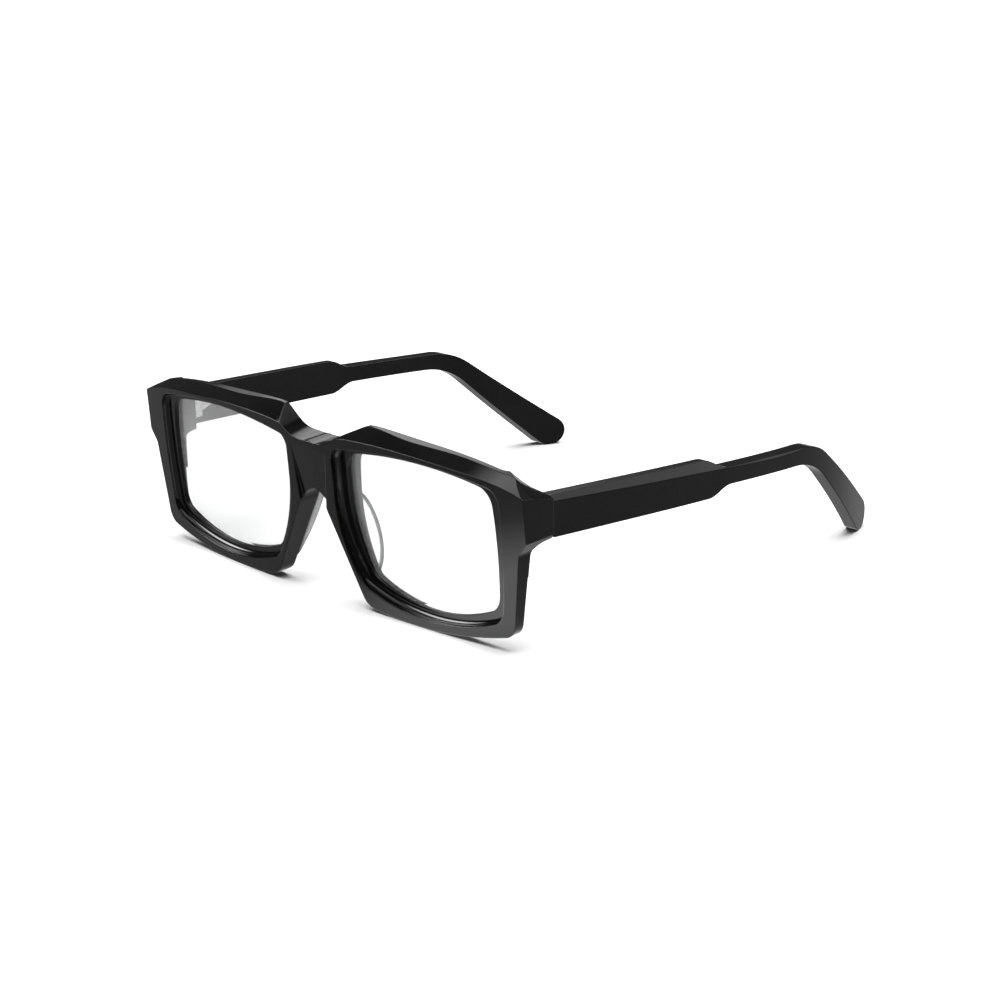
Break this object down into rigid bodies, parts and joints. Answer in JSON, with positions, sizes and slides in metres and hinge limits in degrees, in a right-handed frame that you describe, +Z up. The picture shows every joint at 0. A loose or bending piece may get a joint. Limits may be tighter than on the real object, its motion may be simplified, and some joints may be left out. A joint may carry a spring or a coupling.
{
  "type": "eyeglasses frame",
  "caption": "Full-rim rectangular eyeglasses frame with thick bevelled rims, clear lenses, nose pads and folding arms on pin hinges.",
  "frame": {"origin": "on the table the open frame stands on, on its plane of symmetry, midway between the front and the ends of the arms", "axes": "+X across the front to the viewer's right when the frame faces the viewer, +Y from the front back along the arms, +Z up"},
  "size_m": [0.148, 0.1379, 0.0458],
  "materials": {
    "black_acetate": "polished",
    "clear_lens": "polished",
    "clear_pad": "satin",
    "hinge_metal": "satin",
    "screw_metal": "polished",
    "rivet_metal": "satin",
    "core_wire": "satin"
  },
  "bodies": {
    "front": {"front_frame": "black_acetate", "lens_right": "clear_lens", "lens_left": "clear_lens", "nose_pad_right": "clear_pad", "nose_pad_left": "clear_pad", "front_hinge_right": "hinge_metal", "front_hinge_left": "hinge_metal", "front_rivets_right": "rivet_metal", "front_rivets_left": "rivet_metal", "hinge_screw_right": "screw_metal", "hinge_screw_left": "screw_metal"},
    "arm_right": {"temple_right": "black_acetate", "temple_core_right": "core_wire", "temple_hinge_right": "hinge_metal", "temple_rivets_right": "rivet_metal"},
    "arm_left": {"temple_left": "black_acetate", "temple_core_left": "core_wire", "temple_hinge_left": "hinge_metal", "temple_rivets_left": "rivet_metal"}
  },
  "joints": [
    {"name": "arm_right_fold", "type": "hinge", "parent": "front", "child": "arm_right", "pos_m": [0.0663, -0.05295, 0.0335], "axis": [0, 0, 1], "range_deg": [0, 79]},
    {"name": "arm_left_fold", "type": "hinge", "parent": "front", "child": "arm_left", "pos_m": [-0.0663, -0.05295, 0.0335], "axis": [0, 0, -1], "range_deg": [0, 86]}
  ]
}
